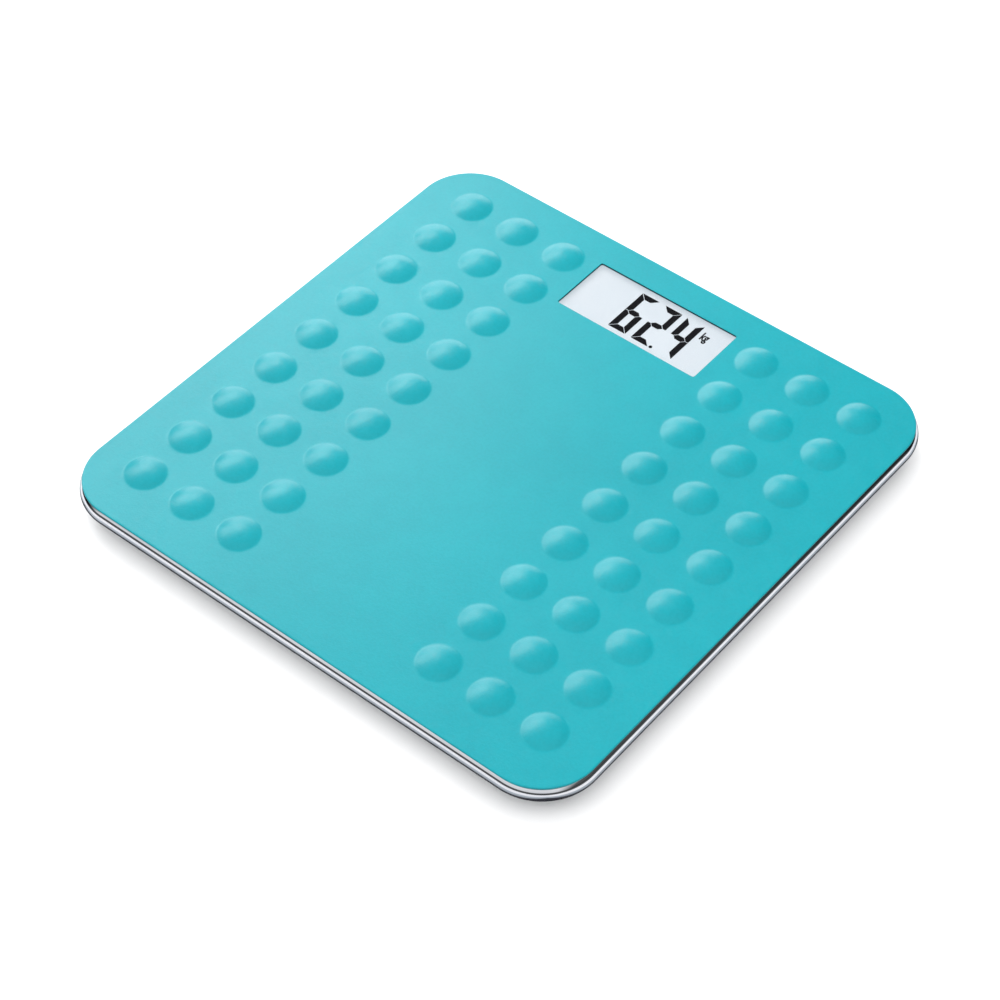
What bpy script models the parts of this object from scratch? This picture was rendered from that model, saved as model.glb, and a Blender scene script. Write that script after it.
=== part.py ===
"""Flat digital bathroom scale, modelled piece by piece.

Metres, +Z up. The origin is on the floor under the middle of the scale, +Y points away from the user,
towards the display, and +X points to the user's right.
"""

import math

import bmesh
import bpy

# ---- Driving dimensions, in metres -------------------------------------------------------------
GAP = 0.0003  # between pieces that touch

SIDE = 0.300  # outside of the cover, left to right and front to back
CORNER_RADIUS = 0.030
CORNER_STEPS = 8  # straight steps in each rounded corner

# Heights above the floor, from the feet up
UNDERSIDE_Z = 0.0045
TRAY_WALL = 0.002
TRAY_TOP_Z = 0.0120
RIM_BOTTOM_Z = 0.0084
COVER_TOP_Z = 0.0174
COVER_SHEET = 0.0012
MAT_BOTTOM_Z = COVER_TOP_Z + GAP
MAT_TOP_Z = 0.0188

# Cover and bottom cover
RIM_ROUNDING = 0.0044  # nearly a full half-round
HEM_WIDTH = 0.0032  # how far the rolled lower edge of the cover reaches in
TRAY_SIDE = SIDE - 2 * HEM_WIDTH - 2 * GAP
TRAY_ROUNDING = 0.0040

# Silicone mat
MAT_SIDE = 0.2968
MAT_CORNER_RADIUS = 0.0284
DOME_PITCH = 0.030
DOME_COLUMNS = 3  # on each side of the middle
DOME_ROWS = 9
FIRST_DOME_X = 0.060
DOME_MIDDLE_Y = 0.002
DOME_RADIUS = 0.0105
DOME_HEIGHT = 0.0022
DOME_SIDES = 10

# Display
DISPLAY_Y = 0.1128
WINDOW_WIDTH = 0.0840
WINDOW_DEPTH = 0.0362
APERTURE_MARGIN = 0.0022  # the cover's aperture is this much larger than the window, on each side
LENS_THICKNESS = 0.0008
PANEL_THICKNESS = 0.0018
HOLDER_WALL = 0.005
HOLDER_LEDGE = 0.004
HOLDER_BOTTOM_Z = 0.0123
BOARD_TOP_Z = 0.0120
BOARD_THICKNESS = 0.0010
BOARD_WIDTH = 0.090
BOARD_DEPTH = 0.044

# Coin cell, battery door and unit button
CELL_X = -0.018
CELL_RADIUS = 0.010
CELL_BOTTOM_Z = 0.0069
CELL_THICKNESS = 0.0032
CONTACT_SHEET = 0.0003
DOOR_WIDTH = 0.036
DOOR_DEPTH = 0.030
DOOR_THICKNESS = 0.0017
BUTTON_X = 0.024
BUTTON_RADIUS = 0.0035
BUTTON_RECESS = 0.0004
BUTTON_FLANGE_RADIUS = 0.0052
BUTTON_TRAVEL = 0.0008
SWITCH_SIDE = 0.006
SWITCH_THICKNESS = 0.0012

# Feet and load cells, one set in each corner
FOOT_REACH = 0.108  # from the middle of the scale, in X and in Y
PAD_RADIUS = 0.015
PAD_THICKNESS = 0.0015
CUP_RADIUS = 0.017
CUP_FLANGE_RADIUS = 0.0195
FOOT_HOLE_RADIUS = 0.018
CELL_PLATE_SIDE = 0.034
CELL_PLATE_Z = 0.0114
CELL_PLATE_THICKNESS = 0.0016
SEAT_SIDE = 0.046
SEAT_BOTTOM_Z = 0.0088
LEAD_OFFSET = 0.013  # from the middle of a load cell to its lead, towards the middle of the scale
LEAD_RADIUS = 0.0008

# Stiffeners and screws
STIFFENER_LENGTH = 0.164
STIFFENER_SHEET = 0.0010
STIFFENER_DEPTH = 0.0061
STIFFENER_BASE = 0.020
STIFFENER_FLANGE = 0.008
MIDDLE_STIFFENER_Y = 0.050
SCREW_OFFSET = 0.045  # from the middle of a stiffener
SCREW_RADIUS = 0.0015
SCREW_HEAD_RADIUS = 0.0030
SCREW_CLEARANCE = 0.0003
POST_RADIUS = 0.0045
BOARD_SCREW_X = 0.038

COVER_UNDERSIDE_Z = COVER_TOP_Z - COVER_SHEET
TRAY_FLOOR_Z = UNDERSIDE_Z + TRAY_WALL
APERTURE_WIDTH = WINDOW_WIDTH + 2 * APERTURE_MARGIN
APERTURE_DEPTH = WINDOW_DEPTH + 2 * APERTURE_MARGIN
PANEL_WIDTH = APERTURE_WIDTH - 2 * GAP
PANEL_DEPTH = APERTURE_DEPTH - 2 * GAP
PANEL_TOP_Z = COVER_TOP_Z - LENS_THICKNESS - GAP
PANEL_BOTTOM_Z = PANEL_TOP_Z - PANEL_THICKNESS
BOARD_BOTTOM_Z = BOARD_TOP_Z - BOARD_THICKNESS
STIFFENER_TOP_Z = COVER_UNDERSIDE_Z - GAP
STIFFENER_BOTTOM_Z = STIFFENER_TOP_Z - STIFFENER_DEPTH
CORNERS = {
    "front_left": (-1, -1),
    "front_right": (1, -1),
    "rear_left": (-1, 1),
    "rear_right": (1, 1),
}


# ---- Scene, materials and modelling helpers ----------------------------------------------------
def clear_scene():
    for obj in list(bpy.data.objects):
        bpy.data.objects.remove(obj, do_unlink=True)


def new_collection(name, hidden=False):
    collection = bpy.data.collections.new(name)
    bpy.context.scene.collection.children.link(collection)
    collection.hide_render = hidden
    return collection


def new_material(name, colour, roughness, metallic=0.0):
    material = bpy.data.materials.new(name)
    material.use_nodes = True
    shader = material.node_tree.nodes["Principled BSDF"]
    shader.inputs["Base Color"].default_value = (*colour, 1.0)
    shader.inputs["Roughness"].default_value = roughness
    shader.inputs["Metallic"].default_value = metallic
    material.diffuse_color = (*colour, 1.0)
    return material


def add_object(name, data, material=None, location=(0, 0, 0), helper=False):
    obj = bpy.data.objects.new(name, data)
    (HELPERS if helper else PARTS).objects.link(obj)
    obj.location = location
    if helper:
        obj.hide_render = True
        obj.display_type = "WIRE"
    if material:
        data.materials.append(material)
    return obj


def rounded_rectangle(width, depth, radius, steps=3, middle=(0, 0)):
    """The outline's points, anticlockwise, with an arc at each corner."""
    points = []
    for quarter, (sx, sy) in enumerate(((1, 1), (-1, 1), (-1, -1), (1, -1))):
        centre_x = middle[0] + sx * (width / 2 - radius)
        centre_y = middle[1] + sy * (depth / 2 - radius)
        for step in range(steps + 1):
            angle = math.radians(90 * (quarter + step / steps))
            points.append((centre_x + radius * math.cos(angle), centre_y + radius * math.sin(angle)))
    return points


def circle(radius, steps=16, middle=(0, 0)):
    turns = [2 * math.pi * step / steps for step in range(steps)]
    return [(middle[0] + radius * math.cos(a), middle[1] + radius * math.sin(a)) for a in turns]


def curve_to_mesh(curve_object, name, material, helper=False):
    """A mesh object with the curve's shape, its caps welded to its sides."""
    bpy.context.view_layer.update()
    evaluated = curve_object.evaluated_get(bpy.context.evaluated_depsgraph_get())
    mesh = bpy.data.meshes.new_from_object(evaluated)
    mesh.name = name
    shape = bmesh.new()
    shape.from_mesh(mesh)
    bmesh.ops.remove_doubles(shape, verts=shape.verts, dist=1e-6)
    bmesh.ops.dissolve_limit(shape, angle_limit=0.001, verts=shape.verts, edges=shape.edges)
    bmesh.ops.recalc_face_normals(shape, faces=shape.faces)
    shape.to_mesh(mesh)
    shape.free()
    mesh.materials.clear()
    made = add_object(name, mesh, material, helper=helper)
    made.matrix_world = curve_object.matrix_world.copy()
    bpy.data.objects.remove(curve_object, do_unlink=True)
    return made


def slab(name, outlines, bottom, top, material=None, helper=False):
    """A flat solid between two heights. The first outline is its edge and the others are holes."""
    curve = bpy.data.curves.new(name + "_outline", "CURVE")
    curve.dimensions = "2D"
    curve.fill_mode = "BOTH"
    curve.extrude = (top - bottom) / 2
    for outline in outlines:
        spline = curve.splines.new("POLY")
        spline.points.add(len(outline) - 1)
        for point, (x, y) in zip(spline.points, outline):
            point.co = (x, y, 0, 1)
        spline.use_cyclic_u = True
    flat = add_object(name + "_outline", curve, helper=True)
    flat.location.z = (top + bottom) / 2
    return curve_to_mesh(flat, name, material, helper)


def block(name, width, depth, bottom, top, middle, material=None, radius=0.0005, helper=False):
    outline = rounded_rectangle(width, depth, radius, steps=2, middle=middle)
    return slab(name, [outline], bottom, top, material, helper)


def turned(name, profile, sides, material=None, location=(0, 0, 0), helper=False):
    """A round solid from (radius, height) points that run from its top on the axis down its outer side."""
    mesh = bpy.data.meshes.new(name)
    points = [(radius, 0, height) for radius, height in profile]
    mesh.from_pydata(points, [(i, i + 1) for i in range(len(points) - 1)], [])
    made = add_object(name, mesh, material, location, helper)
    screw = made.modifiers.new("Turn", "SCREW")
    screw.steps = screw.render_steps = sides
    screw.use_merge_vertices = True
    screw.merge_threshold = 0.000001
    screw.use_smooth_shade = True
    return made


def round_edges(obj, width, segments=2):
    bevel = obj.modifiers.new("Rounded edges", "BEVEL")
    bevel.width = width
    bevel.segments = segments
    bevel.limit_method = "ANGLE"
    bevel.angle_limit = math.radians(50)
    return bevel


def combine(obj, other, operation):
    boolean = obj.modifiers.new(operation.title(), "BOOLEAN")
    boolean.operation = operation
    boolean.object = other
    boolean.solver = "EXACT"


def cut(obj, *cutters):
    for cutter in cutters:
        combine(obj, cutter, "DIFFERENCE")


def smooth(obj):
    obj.data.shade_smooth()
    obj.data.set_sharp_from_angle(angle=math.radians(35))


# ---- Platform ----------------------------------------------------------------------------------
def display_opening(name, width, depth, bottom, top, radius=0.001):
    return block(name, width, depth, bottom, top, (0, DISPLAY_Y), radius=radius, helper=True)


def dome_profile():
    """The cap of a sphere, with a short skirt that sinks into the mat."""
    sphere = (DOME_HEIGHT**2 + DOME_RADIUS**2) / (2 * DOME_HEIGHT)
    profile = []
    for share in (0.0, 0.55, 1.0):
        radius = share * DOME_RADIUS
        profile.append((radius, DOME_HEIGHT - sphere + math.sqrt(sphere**2 - radius**2)))
    return profile + [(DOME_RADIUS, -0.0005), (0, -0.0005)]


def grip_domes():
    """One dome, repeated in columns and rows and mirrored to the other side of the mat."""
    first_y = DOME_MIDDLE_Y - DOME_PITCH * (DOME_ROWS - 1) / 2
    domes = turned("grip_domes", dome_profile(), DOME_SIDES, helper=True)
    domes.location = (FIRST_DOME_X, first_y, MAT_TOP_Z)
    for label, count, offset in (
        ("Columns", DOME_COLUMNS, (DOME_PITCH, 0, 0)),
        ("Rows", DOME_ROWS, (0, DOME_PITCH, 0)),
    ):
        array = domes.modifiers.new(label, "ARRAY")
        array.count = count
        array.use_relative_offset = False
        array.use_constant_offset = True
        array.constant_offset_displace = offset
    middle = add_object("mat_middle", None, helper=True)
    mirror = domes.modifiers.new("Other side", "MIRROR")
    mirror.mirror_object = middle
    mirror.use_mirror_merge = False
    return domes


def make_mat():
    outline = rounded_rectangle(MAT_SIDE, MAT_SIDE, MAT_CORNER_RADIUS, CORNER_STEPS)
    mat = slab("silicone_mat", [outline], MAT_BOTTOM_Z, MAT_TOP_Z, SILICONE)
    round_edges(mat, 0.0004, 1)
    combine(mat, grip_domes(), "UNION")
    low, high = MAT_BOTTOM_Z - 0.001, MAT_TOP_Z + 0.001
    window = display_opening("mat_window", WINDOW_WIDTH, WINDOW_DEPTH, low, high)
    cut(mat, window)


def make_cover():
    outline = rounded_rectangle(SIDE, SIDE, CORNER_RADIUS, CORNER_STEPS)
    cover = slab("top_cover", [outline], RIM_BOTTOM_Z, COVER_TOP_Z, CHROME)
    round_edges(cover, RIM_ROUNDING, 6)
    inner = SIDE - 2 * COVER_SHEET
    hollow_outline = rounded_rectangle(inner, inner, CORNER_RADIUS - COVER_SHEET, CORNER_STEPS)
    hollow_bottom = RIM_BOTTOM_Z + COVER_SHEET
    hollow = slab("cover_hollow", [hollow_outline], hollow_bottom, COVER_UNDERSIDE_Z, helper=True)
    round_edges(hollow, RIM_ROUNDING - COVER_SHEET, 3)
    mouth_side = SIDE - 2 * HEM_WIDTH
    mouth_outline = rounded_rectangle(mouth_side, mouth_side, CORNER_RADIUS - HEM_WIDTH, CORNER_STEPS)
    mouth = slab("cover_mouth", [mouth_outline], RIM_BOTTOM_Z - 0.001, RIM_BOTTOM_Z + 0.003, helper=True)
    aperture = display_opening(
        "cover_aperture", APERTURE_WIDTH, APERTURE_DEPTH, COVER_UNDERSIDE_Z - 0.001, COVER_TOP_Z + 0.001
    )
    cut(cover, hollow, mouth, aperture)
    smooth(cover)


def make_stiffener(name, middle, along_y, screw_holes):
    """A hat-shaped channel of sheet steel, open side up, welded under the cover by its flanges."""
    half_base = STIFFENER_BASE / 2
    half_flange = half_base + 0.0015 + STIFFENER_FLANGE
    section = [
        (-half_flange, 0),
        (-half_base - 0.0015, 0),
        (-half_base, -STIFFENER_DEPTH + STIFFENER_SHEET),
        (half_base, -STIFFENER_DEPTH + STIFFENER_SHEET),
        (half_base + 0.0015, 0),
        (half_flange, 0),
    ]
    half_length = STIFFENER_LENGTH / 2
    points = [(end, y, z) for end in (-half_length, half_length) for y, z in section]
    count = len(section)
    faces = [(i, i + 1, i + 1 + count, i + count) for i in range(count - 1)]
    mesh = bpy.data.meshes.new(name)
    mesh.from_pydata(points, [], faces)
    stiffener = add_object(name, mesh, STEEL, (*middle, STIFFENER_TOP_Z))
    stiffener.rotation_euler.z = math.radians(90) if along_y else 0
    solidify = stiffener.modifiers.new("Sheet", "SOLIDIFY")
    solidify.thickness = STIFFENER_SHEET
    solidify.offset = 1.0
    for x, y in screw_holes:
        hole = turned_cutter(f"{name}_hole", SCREW_RADIUS + SCREW_CLEARANCE, 0.008, 0.012, (x, y))
        cut(stiffener, hole)


def turned_cutter(name, radius, bottom, top, middle, sides=10):
    """A round cutter between two heights."""
    profile = [(0, top), (radius, top), (radius, bottom), (0, bottom)]
    return turned(name, profile, sides, location=(*middle, 0), helper=True)


def make_stiffeners():
    reach, offset = FOOT_REACH, SCREW_OFFSET
    make_stiffener("stiffener_left", (-reach, 0), True, [(-reach, -offset), (-reach, offset)])
    make_stiffener("stiffener_right", (reach, 0), True, [(reach, -offset), (reach, offset)])
    make_stiffener("stiffener_front", (0, -reach), False, [(-offset, -reach), (offset, -reach)])
    make_stiffener("stiffener_middle", (0, MIDDLE_STIFFENER_Y), False, [])


# ---- Display and electronics -------------------------------------------------------------------
def make_display():
    middle = (0, DISPLAY_Y)
    lens_bottom = COVER_TOP_Z - LENS_THICKNESS
    block("display_lens", PANEL_WIDTH, PANEL_DEPTH, lens_bottom, COVER_TOP_Z, middle, CLEAR, 0.001)
    block("lcd_panel", PANEL_WIDTH, PANEL_DEPTH, PANEL_BOTTOM_Z, PANEL_TOP_Z, middle, PANEL, 0.001)

    outer = rounded_rectangle(
        PANEL_WIDTH + 2 * HOLDER_WALL, PANEL_DEPTH + 2 * HOLDER_WALL, 0.002, middle=middle
    )
    opening = rounded_rectangle(
        PANEL_WIDTH - 2 * HOLDER_LEDGE, PANEL_DEPTH - 2 * HOLDER_LEDGE, 0.001, middle=middle
    )
    holder = slab("lcd_holder", [outer, opening], HOLDER_BOTTOM_Z, COVER_UNDERSIDE_Z - GAP, WHITE_PLASTIC)
    pocket = display_opening(
        "lcd_pocket", PANEL_WIDTH + 2 * GAP, PANEL_DEPTH + 2 * GAP, PANEL_BOTTOM_Z - GAP, COVER_TOP_Z
    )
    cut(holder, pocket)
    for side in (-1, 1):
        place = (side * BOARD_SCREW_X, board_screw_y())
        cut(holder, turned_cutter("board_screw_hole", 0.0013, 0.010, 0.0160, place))

    strip_y = DISPLAY_Y - PANEL_DEPTH / 2 + HOLDER_LEDGE + 0.002
    block("connector_strip", 0.060, 0.0025, BOARD_TOP_Z + GAP, PANEL_BOTTOM_Z - GAP, (0, strip_y), RUBBER)


def board_screw_y():
    """The board's screws go up into the holder's rear ledge."""
    return DISPLAY_Y + PANEL_DEPTH / 2 - HOLDER_LEDGE / 2


def make_board():
    middle = (0, DISPLAY_Y)
    board_outline = rounded_rectangle(BOARD_WIDTH, BOARD_DEPTH, 0.0015, middle=middle)
    holes = [circle(0.0016, 10, (side * BOARD_SCREW_X, board_screw_y())) for side in (-1, 1)]
    slab("circuit_board", [board_outline, *holes], BOARD_BOTTOM_Z, BOARD_TOP_Z, BOARD_GREEN)

    chip_top = BOARD_BOTTOM_Z - GAP
    chip_place = (0.004, DISPLAY_Y + 0.008)
    block("controller_chip", 0.009, 0.009, chip_top - 0.0012, chip_top, chip_place, BLACK_RESIN)
    switch_place = (BUTTON_X, DISPLAY_Y)
    switch_bottom = chip_top - SWITCH_THICKNESS
    block("unit_switch", SWITCH_SIDE, SWITCH_SIDE, switch_bottom, chip_top, switch_place, BLACK_RESIN)
    for side, label in ((-1, "left"), (1, "right")):
        profile = [
            (0, 0.0028),
            (0.0010, 0.0028),
            (0.0010, -0.0003),
            (0.0024, -0.0003),
            (0.0020, -0.0015),
            (0, -0.0015),
        ]
        location = (side * BOARD_SCREW_X, board_screw_y(), BOARD_BOTTOM_Z)
        turned(f"board_screw_{label}", profile, 10, STEEL, location)


def make_battery():
    cell_top = CELL_BOTTOM_Z + CELL_THICKNESS
    profile = [
        (0, CELL_THICKNESS),
        (CELL_RADIUS - 0.0015, CELL_THICKNESS),
        (CELL_RADIUS - 0.0008, CELL_THICKNESS - 0.0006),
        (CELL_RADIUS, CELL_THICKNESS - 0.0008),
        (CELL_RADIUS, 0),
        (0, 0),
    ]
    turned("coin_cell", profile, 28, STEEL, (CELL_X, DISPLAY_Y, CELL_BOTTOM_Z))

    tongue_bottom = cell_top + GAP
    block(
        "battery_contact_negative", 0.008, 0.016, tongue_bottom, tongue_bottom + CONTACT_SHEET,
        (CELL_X, DISPLAY_Y), STEEL,
    )
    clip_x = CELL_X - CELL_RADIUS - GAP - CONTACT_SHEET / 2
    clip = block(
        "battery_contact_positive", CONTACT_SHEET, 0.007, CELL_BOTTOM_Z, BOARD_BOTTOM_Z - GAP,
        (clip_x, DISPLAY_Y), STEEL, radius=0.0001,
    )
    foot = block(
        "contact_foot", 0.004, 0.007, BOARD_BOTTOM_Z - GAP - CONTACT_SHEET, BOARD_BOTTOM_Z - GAP,
        (clip_x - 0.002 + CONTACT_SHEET / 4, DISPLAY_Y), radius=0.0001, helper=True,
    )
    combine(clip, foot, "UNION")


def make_battery_door():
    """A lid that tilts out about its front lower edge, where two hooks reach over the bottom cover."""
    hinge = add_object("battery_door_hinge", None, helper=True)
    hinge.location = (CELL_X, DISPLAY_Y - DOOR_DEPTH / 2, UNDERSIDE_Z)
    door = block(
        "battery_door", DOOR_WIDTH, DOOR_DEPTH, 0, DOOR_THICKNESS, (0, DOOR_DEPTH / 2), GREY_PLASTIC, 0.0012
    )
    hook_bottom = TRAY_WALL + GAP
    hook_top = hook_bottom + 0.001
    hooks = []
    for x in (-DOOR_WIDTH / 3, DOOR_WIDTH / 3):
        hooks.append(block("hook_neck", 0.005, 0.0018, 0.0005, hook_top, (x, 0.0012), helper=True))
        hooks.append(block("hook_tip", 0.005, 0.0042, hook_bottom, hook_top, (x, 0), helper=True))
    grip_place = (0, DOOR_DEPTH - 0.0045)
    grip = block("finger_grip", 0.014, 0.005, -0.001, 0.0008, grip_place, radius=0.002, helper=True)
    for piece in (door, grip, *hooks):
        piece.parent = hinge
    for hook in hooks:
        combine(door, hook, "UNION")
    cut(door, grip)


def make_unit_button():
    """A round button whose flange keeps it inside the bottom cover."""
    stem_bottom = UNDERSIDE_Z + BUTTON_RECESS
    flange_bottom = TRAY_FLOOR_Z + GAP
    flange_top = flange_bottom + 0.0008
    switch_bottom = BOARD_BOTTOM_Z - GAP - SWITCH_THICKNESS
    plunger_top = switch_bottom - GAP - BUTTON_TRAVEL
    profile = [
        (0, plunger_top),
        (0.0015, plunger_top),
        (0.0015, flange_top),
        (BUTTON_FLANGE_RADIUS, flange_top),
        (BUTTON_FLANGE_RADIUS, flange_bottom),
        (BUTTON_RADIUS, flange_bottom),
        (BUTTON_RADIUS, stem_bottom + 0.0003),
        (BUTTON_RADIUS - 0.0003, stem_bottom),
        (0, stem_bottom),
    ]
    button = turned("unit_button", [(r, z - stem_bottom) for r, z in profile], 20, GREY_PLASTIC)
    button.location = (BUTTON_X, DISPLAY_Y, stem_bottom)


# ---- Bottom cover ------------------------------------------------------------------------------
def cover_screw_places():
    places = [(side * FOOT_REACH, end * SCREW_OFFSET) for side in (-1, 1) for end in (-1, 1)]
    return places + [(end * SCREW_OFFSET, -FOOT_REACH) for end in (-1, 1)]


def make_bottom_cover():
    outline = rounded_rectangle(TRAY_SIDE, TRAY_SIDE, CORNER_RADIUS - HEM_WIDTH, CORNER_STEPS)
    tray = slab("bottom_cover", [outline], UNDERSIDE_Z, TRAY_TOP_Z, GREY_PLASTIC)
    lower_edge = round_edges(tray, TRAY_ROUNDING, 3)
    lower_edge.limit_method = "VGROUP"
    lower_edge.vertex_group = "lower_edge"
    lower = [v.index for v in tray.data.vertices if v.co.z < 0]
    tray.vertex_groups.new(name="lower_edge").add(lower, 1.0, "REPLACE")

    inner = TRAY_SIDE - 2 * TRAY_WALL
    hollow_outline = rounded_rectangle(inner, inner, CORNER_RADIUS - HEM_WIDTH - TRAY_WALL, CORNER_STEPS)
    hollow = slab("tray_hollow", [hollow_outline], TRAY_FLOOR_Z, TRAY_TOP_Z + 0.005, helper=True)
    round_edges(hollow, TRAY_ROUNDING - TRAY_WALL, 2)
    cut(tray, hollow)

    post_top = STIFFENER_BOTTOM_Z - GAP
    for place in cover_screw_places():
        post = turned_cutter("screw_post", POST_RADIUS, UNDERSIDE_Z + 0.0005, post_top, place)
        combine(tray, post, "UNION")
        shank_hole = turned_cutter("shank_hole", SCREW_RADIUS + SCREW_CLEARANCE, 0.003, 0.012, place)
        head_radius = SCREW_HEAD_RADIUS + 0.0004
        head_hole = turned_cutter("head_hole", head_radius, 0.003, UNDERSIDE_Z + 0.0025, place)
        cut(tray, shank_hole, head_hole)

    for side_x, side_y in CORNERS.values():
        middle = (side_x * FOOT_REACH, side_y * FOOT_REACH)
        cut(tray, turned_cutter("foot_hole", FOOT_HOLE_RADIUS, 0.003, 0.008, middle, sides=20))
    button_place = (BUTTON_X, DISPLAY_Y)
    cut(tray, turned_cutter("button_hole", BUTTON_RADIUS + GAP, 0.003, 0.008, button_place, sides=20))
    doorway = block(
        "doorway", DOOR_WIDTH + 2 * GAP, DOOR_DEPTH + 2 * GAP, 0.003, 0.008, (CELL_X, DISPLAY_Y),
        radius=0.0012, helper=True,
    )
    cut(tray, doorway)


def make_cover_screws():
    head_bottom = UNDERSIDE_Z + 0.0005
    profile = [
        (0, 0.0073),
        (SCREW_RADIUS - 0.0006, 0.0073),
        (SCREW_RADIUS, 0.0066),
        (SCREW_RADIUS, 0.0017),
        (SCREW_HEAD_RADIUS, 0.0017),
        (SCREW_HEAD_RADIUS, 0.0004),
        (SCREW_HEAD_RADIUS - 0.0006, 0),
        (0, 0),
    ]
    for number, (x, y) in enumerate(cover_screw_places(), 1):
        turned(f"cover_screw_{number}", profile, 10, STEEL, (x, y, head_bottom))


# ---- Feet and load cells -----------------------------------------------------------------------
def make_seat(name, middle, inwards):
    """The moulded seat that carries a load cell's outer frame, with a way out for the lead."""
    outline = rounded_rectangle(SEAT_SIDE, SEAT_SIDE, 0.004, middle=middle)
    seat = slab(name, [outline], SEAT_BOTTOM_Z, COVER_UNDERSIDE_Z - GAP, BLACK_PLASTIC)
    roof_z = CELL_PLATE_Z + CELL_PLATE_THICKNESS + GAP
    pocket_side = CELL_PLATE_SIDE + 2 * GAP
    pocket = block("seat_pocket", pocket_side, pocket_side, 0.007, roof_z, middle, radius=0.002, helper=True)
    relief = block("seat_relief", 0.020, 0.020, roof_z - 0.001, roof_z + 0.0012, middle, helper=True)
    room_radius = CUP_FLANGE_RADIUS + 0.0005
    foot_room = turned_cutter("seat_foot_room", room_radius, 0.007, SEAT_BOTTOM_Z + 0.0008, middle, 20)
    notch_middle = (middle[0] + inwards[0] * SEAT_SIDE / 2, middle[1] + inwards[1] * LEAD_OFFSET)
    notch = block("lead_notch", 0.014, 0.003, 0.008, roof_z, notch_middle, helper=True)
    cut(seat, pocket, relief, foot_room, notch)


def make_load_cell(name, middle):
    """A flat steel plate: a three-sided slot frees the tongue that the foot pushes up."""
    half = 0.0105
    width = 0.0025
    x, y = middle
    slot = [
        (-half, half), (-half, -half), (half, -half), (half, half), (half - width, half),
        (half - width, -half + width), (-half + width, -half + width), (-half + width, half),
    ]
    outline = rounded_rectangle(CELL_PLATE_SIDE, CELL_PLATE_SIDE, 0.003, middle=middle)
    slot_outline = [(x + dx, y + dy) for dx, dy in slot]
    top = CELL_PLATE_Z + CELL_PLATE_THICKNESS
    slab(name, [outline, slot_outline], CELL_PLATE_Z, top, STEEL)


def make_foot(corner, middle):
    cup_profile = [
        (0, 0.0109),
        (0.0042, 0.0109),
        (0.0050, 0.0100),
        (0.0050, 0.0040),
        (CUP_RADIUS - 0.0020, 0.0040),
        (CUP_RADIUS - 0.0020, 0.0079),
        (CUP_FLANGE_RADIUS, 0.0079),
        (CUP_FLANGE_RADIUS, TRAY_FLOOR_Z + 0.0004),
        (CUP_RADIUS, TRAY_FLOOR_Z + 0.0004),
        (CUP_RADIUS, 0.0030),
        (CUP_RADIUS - 0.0012, PAD_THICKNESS + GAP),
        (0, PAD_THICKNESS + GAP),
    ]
    turned(f"foot_cup_{corner}", cup_profile, 20, GREY_PLASTIC, (*middle, 0))
    pad_profile = [
        (0, PAD_THICKNESS),
        (PAD_RADIUS, PAD_THICKNESS),
        (PAD_RADIUS, 0.0004),
        (PAD_RADIUS - 0.0004, 0),
        (0, 0),
    ]
    turned(f"foot_pad_{corner}", pad_profile, 20, RUBBER, (*middle, 0))


def lead_route(side_x, side_y):
    """Points along a load cell's lead, from the cell's edge to the underside of the circuit board."""
    start_x = FOOT_REACH - CELL_PLATE_SIDE / 2 - GAP
    start_y = side_y * (FOOT_REACH - LEAD_OFFSET)
    cell_z, floor_z, board_z = 0.0122, 0.0082, 0.0098
    route = [(start_x, start_y, cell_z), (start_x - 0.006, start_y, cell_z - 0.0002)]
    if side_y > 0:
        route += [(0.076, 0.095, 0.0086), (0.066, 0.096, floor_z), (0.054, 0.098, 0.0084)]
        route += [(0.046, 0.099, 0.0094), (0.040, 0.099, board_z)]
    else:
        route += [(0.077, -0.092, 0.0088), (0.070, -0.080, floor_z), (0.064, -0.056, floor_z)]
        route += [(0.060, 0, floor_z), (0.056, 0.056, floor_z), (0.048, 0.082, 0.0084)]
        route += [(0.041, 0.092, 0.0094), (0.034, 0.094, board_z)]
    return [(side_x * x, y, z) for x, y, z in route]


def catmull_rom(t, a, b, c, d):
    """The value at share t of the way from b to c, with a before them and d after."""
    square = (2 * a - 5 * b + 4 * c - d) * t**2
    cube = (3 * b - a - 3 * c + d) * t**3
    return 0.5 * (2 * b + (c - a) * t + square + cube)


def smooth_route(points, steps):
    """Points along a Catmull-Rom curve through the given ones."""
    ends = [points[0], *points, points[-1]]
    route = []
    for before, start, end, after in zip(ends, ends[1:], ends[2:], ends[3:]):
        for step in range(steps):
            t = step / steps
            route.append(tuple(catmull_rom(t, *values) for values in zip(before, start, end, after)))
    return route + [points[-1]]


def make_lead(name, side_x, side_y):
    route = smooth_route(lead_route(side_x, side_y), 2)
    curve = bpy.data.curves.new(name, "CURVE")
    curve.dimensions = "3D"
    curve.bevel_depth = LEAD_RADIUS
    curve.bevel_resolution = 2
    curve.use_fill_caps = True
    spline = curve.splines.new("POLY")
    spline.points.add(len(route) - 1)
    for point, place in zip(spline.points, route):
        point.co = (*place, 1)
    add_object(name, curve, LEAD_INSULATION)


def make_corner(corner, side_x, side_y):
    middle = (side_x * FOOT_REACH, side_y * FOOT_REACH)
    make_seat(f"load_cell_seat_{corner}", middle, (-side_x, -side_y))
    make_load_cell(f"load_cell_{corner}", middle)
    gauge_z = CELL_PLATE_Z + CELL_PLATE_THICKNESS + GAP
    gauge_middle = (middle[0], middle[1] + 0.007)
    block(f"strain_gauge_{corner}", 0.007, 0.004, gauge_z, gauge_z + 0.0003, gauge_middle, GAUGE_FILM)
    make_foot(corner, middle)
    make_lead(f"load_cell_lead_{corner}", side_x, side_y)


# ---- The whole scale ---------------------------------------------------------------------------
clear_scene()
PARTS = new_collection("bathroom_scale")
HELPERS = new_collection("cutters", hidden=True)

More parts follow.
